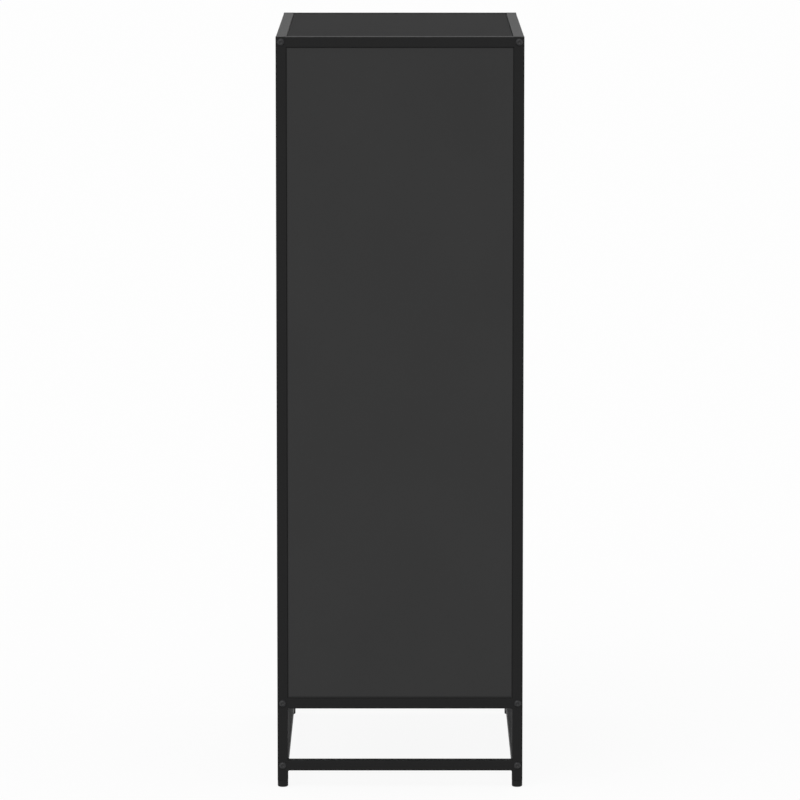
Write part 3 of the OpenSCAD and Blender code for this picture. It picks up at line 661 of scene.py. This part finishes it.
# ---- Wall brackets and spacers ----
# Two steel plates welded under the rear top rail, each with a hole for a wall screw, and
# a ribbed rubber sleeve behind each that keeps the cabinet 10 mm off the wall.
rubber = surface("spacer_rubber", (0.009, 0.009, 0.009), (0.014, 0.014, 0.014),
                 gloss=(0.65, 0.85), grain=0.5 * MM, depth=0.02 * MM, drift=8 * MM, level=0.3)
BRACKET = 24 * MM
low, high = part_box("wall_brackets")
plates = []
for way in (-1, 1):
    x = way * wall_hole_x
    plate = block("plate", (x - BRACKET / 2, low.y, low.z), (x + BRACKET / 2, high.y, high.z))
    bevel(plate, lambda edge: running(1)(edge) and edge.verts[0].co.z < wall_hole_z, 4 * MM, 6)
    bevel(plate, lambda edge: outline_of(1, -1)(edge) or outline_of(1, 1)(edge), 0.2 * MM, 2)
    cut(plate, moved(turned("drill", wall_drill, 32),
                     at((x, high.y, wall_hole_z), (0, 1, 0))))
    bead = moved(weld_bead(20, 0.9),
                 at((x - 10 * MM, low.y + 0.3 * MM, high.z - 0.2 * MM), (1, 0, 0)))
    plates += [plate, bead]
fit(joined("wall_bracket_plates", plates), powder_coat, "cabinet", "frame_metal", "wall_brackets")

length = (spacer_high.y - spacer_low.y) / MM
rings = [(0, 6.6), (0.4, 7.0), (2.2, 7.0)]
for rib in range(1, 3):
    rings += [(rib * length / 3 - 0.6, 7.0), (rib * length / 3, 6.4), (rib * length / 3 + 0.6, 7.0)]
rings += [(length - 0.4, 7.0), (length, 6.6)]
sleeve = cut(turned("sleeve", rings),
             turned("drill", [(-4, WALL_HOLE_R), (length + 4, WALL_HOLE_R)], 32))
moves = [at((x, spacer_low.y, wall_hole_z), (0, 1, 0)) for x in (-wall_hole_x, wall_hole_x)]
sleeves = copies("wall_spacers_moulded", sleeve, moves)
fit(sleeves, rubber, "cabinet", "spacer_rubber", "wall_spacers")


# ---- Door frames ----
# Two doors of 20 by 15 mm aluminium profile with a groove for the glass, mitred at the
# corners and coated satin black. The left door's bars are made first, the right mirrored.
door_coat = surface("door_powder_coat", (0.0072, 0.0072, 0.0074), (0.0092, 0.0092, 0.0094),
                    gloss=(0.36, 0.46), grain=0.9 * MM, depth=0.010 * MM, level=0.2)
FACE, DEPTH, GROOVE_D, GROOVE_W = 20 * MM, 15 * MM, 8 * MM, 6 * MM
MITRE_GAP = 0.05 * MM
door_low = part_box("left_door_hinge_stile")[0]
door_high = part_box("left_door_meeting_stile")[1]


def door_bar(length):
    """A mitred bar along +Z, X from the door's edge inwards and Y from its face back."""
    bar = block("bar", (0, 0, 0), (FACE, DEPTH, length))
    groove = ((DEPTH - GROOVE_W) / 2, (DEPTH + GROOVE_W) / 2)
    for y in groove:
        pick(bar, "FACE", lambda face: True)
        bpy.ops.mesh.bisect(plane_co=(0, y, 0), plane_no=(0, 1, 0))
        leave()
    pick(bar, "FACE", lambda face: facing(0, 1)(face)
         and groove[0] < face.calc_center_median().y < groove[1])
    bpy.ops.mesh.extrude_region_move(TRANSFORM_OT_translate={"value": (-GROOVE_D, 0, 0)})
    leave()
    pick(bar, "FACE", facing(2))
    bpy.ops.mesh.delete(type="FACE")
    leave()
    outer = lambda edge: running(2)(edge) and not 1e-5 < edge.verts[0].co.y < DEPTH - 1e-5
    bevel(bar, outer, 1 * MM, 4)
    lips = lambda edge: (running(2)(edge) and edge.verts[0].co.x > FACE - 1e-5
                         and min(abs(edge.verts[0].co.y - y) for y in groove) < 1e-5)
    bevel(bar, lips, 0.3 * MM, 2)
    for base, slope in ((0, -1), (length, 1)):
        pick(bar, "FACE", lambda face: True)
        away = Vector((1, 0, slope)).normalized()
        bpy.ops.mesh.bisect(plane_co=Vector((0, 0, base)) - away * MITRE_GAP, plane_no=away,
                            use_fill=True, clear_outer=True)
        leave()
    bevel(bar, lambda edge: any(abs(face.normal.x) > 0.5 and abs(face.normal.z) > 0.5
                                for face in edge.link_faces), 0.12 * MM, 1)
    return bar


size = door_high - door_low
stile, rail = door_bar(size.z), door_bar(size.x)
corner = {"low": Matrix.Translation(door_low),
          "high": Matrix.Translation((door_low.x, door_low.y, door_high.z)),
          "meeting": Matrix.Translation((door_high.x, door_low.y, door_low.z))}
bars = {
    "hinge_stile": (stile, corner["low"]),
    "meeting_stile": (stile, corner["meeting"] @ mirror_x),
    "top_rail": (rail, corner["high"] @ quarter["Y"]),
    "bottom_rail": (rail, corner["low"] @ Matrix.Scale(-1, 4, (0, 0, 1)) @ quarter["Y"]),
}
sides = (("left_door", Matrix.Identity(4)), ("right_door", mirror_x))
for side, mirrored in sides:
    for part, (master, move) in bars.items():
        bar = master.copy()
        bar.data = master.data.copy()
        bpy.context.collection.objects.link(bar)
        bar.name = bar.data.name = f"{side}_{part}_bar"
        fit(moved(bar, mirrored @ move), door_coat, side, "door_metal", f"{side}_{part}")
for master in (stile, rail):
    bpy.data.objects.remove(master)


# ---- Glass and gaskets ----
# A 4 mm toughened pane with ground edges in each door, coated against reflections. A black
# rubber channel holds it, and its rounded lips show 1 mm inside the frame on both faces.
gasket_rubber = surface("gasket_rubber", (0.005, 0.005, 0.005), (0.008, 0.008, 0.008),
                        gloss=(0.5, 0.7), grain=0.7 * MM, depth=0.01 * MM, drift=0.02, level=0.3)
clear = surface("toughened_glass", (0.965, 0.985, 0.98), (0.975, 0.99, 0.985),
                gloss=(0.0, 0.004), grain=0.11, depth=0.004 * MM, drift=0.3, level=0.12)
COATED_INDEX = 1.22  # lower than bare glass, which gives the coat's weak reflection
clear.node_tree.nodes["Principled BSDF"].inputs["Transmission Weight"].default_value = 1.0
clear.node_tree.nodes["Principled BSDF"].inputs["IOR"].default_value = COATED_INDEX
LIP = 1 * MM
for side, mirrored in sides:
    low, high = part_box(side + "_glass")
    pane = block(side + "_pane", low, high)
    bevel(pane, lambda edge: True, 0.5 * MM, 2)
    fit(pane, clear, side, "door_glass", side + "_glass")

    channel_low, channel_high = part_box(side + "_gasket")
    inset = Vector((GROOVE_D + LIP, -5 * MM, GROOVE_D + LIP))
    channel = block(side + "_channel", channel_low, channel_high)
    cut(channel, block("opening", channel_low + inset, channel_high - inset))
    inside = (channel_low + inset, channel_high - inset)

    def lip_edge(edge):
        a, b = edge.verts[0].co, edge.verts[1].co
        return abs(a.y - b.y) < 1e-6 and all(
            inside[0].x - 1e-5 < p.x < inside[1].x + 1e-5
            and inside[0].z - 1e-5 < p.z < inside[1].z + 1e-5 for p in (a, b))

    bevel(channel, lip_edge, 0.45 * MM, 3)
    cut(channel, block("pane_room", low, high))
    fit(channel, gasket_rubber, side, "gasket_rubber", side + "_gasket")


# ---- Knobs ----
# Turned aluminium knobs, lacquered satin black, with a waisted neck and a dished face that
# keeps the tool's fine rings. A screw through the meeting stile holds each from behind.
KNOB = [(0, 4.2), (0.4, 4.3), (0.8, 3.9), (1.6, 3.5), (3.4, 3.5), (4.3, 3.9), (5.0, 4.9),
        (5.5, 6.1), (5.9, 6.75), (6.4, 7.0), (8.6, 7.0), (9.05, 6.85), (9.38, 6.5), (9.5, 6.1),
        (9.5, 5.3), (9.3, 5.0), (9.15, 3.0), (9.1, 0.6)]
KNOB_SCREW_R, KNOB_SCREW_L = 1.5, 20.9
RING_PITCH = 0.28 * MM
for side, mirrored in sides:
    low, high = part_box(side + "_knob")
    centre = (low + high) / 2
    lacquered = surface(side + "_knob_lacquer", (0.008, 0.008, 0.008), (0.011, 0.011, 0.011),
                        gloss=(0.24, 0.34), grain=0.3 * MM, depth=0.003 * MM, drift=6 * MM,
                        level=0.4)
    tree = lacquered.node_tree
    place = add_node(tree, "Mapping", {"Vector": tree.nodes["Texture Coordinate"].outputs["Object"],
                                       "Location": (-centre.x, 0, -centre.z)})
    ring = add_node(tree, "TexWave", {"Vector": place.outputs[0], "Scale": WAVE_UNIT / RING_PITCH},
                    wave_type="RINGS", rings_direction="Y")
    relief = add_node(tree, "Bump", {"Height": ring.outputs["Fac"], "Distance": 0.01 * MM,
                                     "Strength": 1.0, "Normal": tree.nodes["Bump"].outputs[0]})
    tree.links.new(relief.outputs[0], tree.nodes["Principled BSDF"].inputs["Normal"])
    knob = moved(turned(side + "_knob_turned", KNOB, 64),
                 at((centre.x, high.y, centre.z), (0, -1, 0)))
    fit(knob, lacquered, side, "knob_metal", side + "_knob")
    screw = moved(pan_screw(KNOB_SCREW_L, KNOB_SCREW_R),
                  at((centre.x, door_low.y + DEPTH, centre.z), (0, -1, 0)))
    screw.name = screw.data.name = side + "_knob_screw_turned"
    fit(screw, bright_zinc, side, "zinc_steel", side + "_knob_screw")


# ---- Hinges ----
# Weld-on barrel hinges, three to a door. The lower barrel is welded to the post and holds
# the pin, the upper one is welded to the door and turns on it, with a brass washer between.
brass = surface("washer_brass", (0.50, 0.34, 0.11), (0.60, 0.42, 0.15), gloss=(0.25, 0.4),
                grain=0.3 * MM, depth=0.003 * MM, drift=2 * MM, metallic=1.0)
BARREL_R, BARREL_L, PIN_BORE, REACH, WELD_HALF = 4.0, 24.0, 2.05, 4.4, 1.3
HINGE_L = 49 * MM
hinge = Vector(next(j["pos_m"] for j in frame["joints"] if j["name"] == "left_door_hinge"))
barrel_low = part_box("post_hinge_barrels")[0].z
barrel_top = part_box("left_door_barrels")[1].z
middle_low = (door_low.z + door_high.z - HINGE_L) / 2
hinge_heights = (barrel_low, middle_low, barrel_top - HINGE_L)


def barrel(towards):
    """A barrel along +Z from 0, closed and domed below, with its welded foot."""
    body = turned("barrel", [(0, 2.4), (0.2, 3.1), (0.7, 3.7), (1.4, BARREL_R), (22.2, BARREL_R),
                             (22.4, 3.8), (22.7, 3.8), (22.9, BARREL_R), (23.6, BARREL_R),
                             (BARREL_L, 3.6), (BARREL_L, PIN_BORE), (6, PIN_BORE)])
    foot = block("foot", (0, -WELD_HALF * MM, 0.6 * MM), (REACH * MM, WELD_HALF * MM, 23.4 * MM))
    bevel(foot, outline_of(2, 1), 0.5 * MM, 2)
    bevel(foot, outline_of(2, -1), 0.5 * MM, 2)
    parts = [body, foot]
    for way in (-1, 1):
        parts.append(moved(weld_bead(21, 0.75), at((REACH * MM, way * WELD_HALF * MM, 1.5 * MM))))
        parts.append(moved(weld_bead(21, 0.6), at((3.7 * MM, way * WELD_HALF * MM, 1.5 * MM))))
    return moved(joined("barrel", parts), Matrix.Rotation(towards, 4, "Z"))


moves = [Matrix.Translation((hinge.x, hinge.y, z)) for z in hinge_heights]
both = moves + [mirror_x @ move for move in moves]
lower = copies("post_hinge_barrels_welded", barrel(radians(180)), both)
fit(lower, powder_coat, "cabinet", "frame_metal", "post_hinge_barrels")
for side, mirrored in sides:
    flipped = Matrix.Translation((0, 0, HINGE_L)) @ Matrix.Scale(-1, 4, (0, 0, 1))
    upper = copies(side + "_barrels_welded", barrel(radians(90)),
                   [mirrored @ move @ flipped for move in moves])
    fit(upper, door_coat, side, "frame_metal", side + "_barrels")
pin = turned("pin", [(6, 1.6), (6.4, 2.0), (42.6, 2.0), (43, 1.6)], 32)
fit(copies("hinge_pins_turned", pin, both), nickel, "cabinet", "nickel_steel", "hinge_pins")
washer = cut(turned("washer", [(24.03, 3.45), (24.18, 3.6), (24.82, 3.6), (24.97, 3.45)]),
             turned("drill", [(20, 2.02), (30, 2.02)], 32))
fit(copies("hinge_washers_turned", washer, both), brass, "cabinet", "washer_brass", "hinge_washers")


# ---- Catches ----
# Four magnetic catches, two under the top board and two on the bottom board. Each is a
# moulded housing with two screwed ears and a magnet between steel pole plates.
catch_plastic = surface("catch_plastic", (0.012, 0.012, 0.012), (0.016, 0.016, 0.016),
                        gloss=(0.45, 0.6), grain=0.5 * MM, depth=0.01 * MM, drift=0.01, level=0.3)
ferrite = surface("magnet_face", (0.10, 0.10, 0.105), (0.15, 0.15, 0.155), gloss=(0.35, 0.5),
                  grain=0.4 * MM, depth=0.006 * MM, drift=3 * MM, metallic=1.0)
CATCH_X, CATCH_W, CATCH_D, EAR_L, EAR_T = 28 * MM, 30 * MM, 12 * MM, 9 * MM, 2 * MM
MAGNET_W, MAGNET_H, MAGNET_D = 22 * MM, 8 * MM, 5 * MM
catch_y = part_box("catch_housings")[0].y
strike_low, strike_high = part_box("left_door_strike_plates")
seats = ((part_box("top_board")[0].z, strike_high.z - 5 * MM, 1),
         (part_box("bottom_board")[1].z, strike_low.z + 5 * MM, -1))
housings, magnets, screw_moves = [], [], []
for seat_z, magnet_z, up in seats:
    drop = abs(seat_z - magnet_z)
    body = block("body", (-CATCH_W / 2, 0, -drop - 6 * MM), (CATCH_W / 2, CATCH_D, 0))
    bevel(body, lambda edge: running(2)(edge) and edge.verts[0].co.y > 0.001, 2.5 * MM, 4)
    bevel(body, lambda edge: outline_of(2, -1)(edge), 0.8 * MM, 3)
    cut(body, block("pocket", (-MAGNET_W / 2, -MM, -drop - MAGNET_H / 2),
                    (MAGNET_W / 2, MAGNET_D, -drop + MAGNET_H / 2)))
    ears = block("ears", (-CATCH_W / 2 - EAR_L, 0, -EAR_T), (CATCH_W / 2 + EAR_L, CATCH_D, 0))
    bevel(ears, running(2), 4 * MM, 6)
    bevel(ears, outline_of(2, -1), 0.4 * MM, 2)
    for way in (-1, 1):
        x = way * (CATCH_W + EAR_L) / 2
        cut(ears, moved(turned("drill", [(-4, 1.9), (4, 1.9)], 24), at((x, CATCH_D / 2, 0))))
    housing = joined("housing", [body, ears])
    plates = [block("magnet", (-MAGNET_W / 2, 0.35 * MM, -2.7 * MM),
                    (MAGNET_W / 2, MAGNET_D, 2.7 * MM))]
    for way in (-1, 1):
        z = sorted((way * 2.75 * MM, way * MAGNET_H / 2))
        plate = block("pole", (-MAGNET_W / 2, 0, z[0]), (MAGNET_W / 2, MAGNET_D, z[1]))
        bevel(plate, lambda edge: True, 0.2 * MM, 2)
        plates.append(plate)
    magnet = joined("magnet", plates)
    flip = Matrix.Scale(up, 4, (0, 0, 1))
    seat = [Matrix.Translation((way * CATCH_X, catch_y, seat_z)) @ flip for way in (-1, 1)]
    housings.append(copies("housing", housing, seat))
    magnets.append(copies("magnet", magnet,
                          [move @ Matrix.Translation((0, 0, -drop)) for move in seat]))
    for move in seat:
        for way in (-1, 1):
            ear = ((CATCH_W + EAR_L) / 2 * way, CATCH_D / 2, -EAR_T)
            screw_moves.append(move @ Matrix.Translation(ear))
fit(joined("catch_housings_moulded", housings), catch_plastic,
    "cabinet", "catch_plastic", "catch_housings")
fit(joined("catch_magnets_plated", magnets), ferrite, "cabinet", "magnet", "catch_magnets")
screws = copies("catch_screws_turned", pan_screw(10), screw_moves)
fit(screws, bright_zinc, "cabinet", "zinc_steel", "catch_screws")


# ---- Strike plates ----
# Nickelled steel plates, 26 by 10 by 1 mm, on the backs of the doors where they meet the
# catches. Each is held by two flush rivets.
STRIKE_H, RIVET_INSET = 10 * MM, 4 * MM
for side, mirrored in sides:
    low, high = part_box(side + "_strike_plates")
    plates = []
    for z in (low.z, high.z - STRIKE_H):
        plate = block("plate", (low.x, low.y, z), (high.x, high.y, z + STRIKE_H))
        bevel(plate, running(1), 1.5 * MM, 4)
        bevel(plate, outline_of(1, 1), 0.2 * MM, 2)
        for x in (low.x + RIVET_INSET, high.x - RIVET_INSET):
            spot = at((x, high.y, z + STRIKE_H / 2), (0, 1, 0))
            cut(plate, moved(turned("sink", [(-0.4, 1.2), (0.1, 1.9)], 24), spot))
            rivet = turned("rivet", [(-0.6, 1.2), (-0.15, 1.45), (-0.05, 1.3)], 24)
            plates.append(moved(rivet, spot))
        plates.append(plate)
    fit(joined(side + "_strike_plates_nickelled", plates), nickel,
        side, "nickel_steel", side + "_strike_plates")
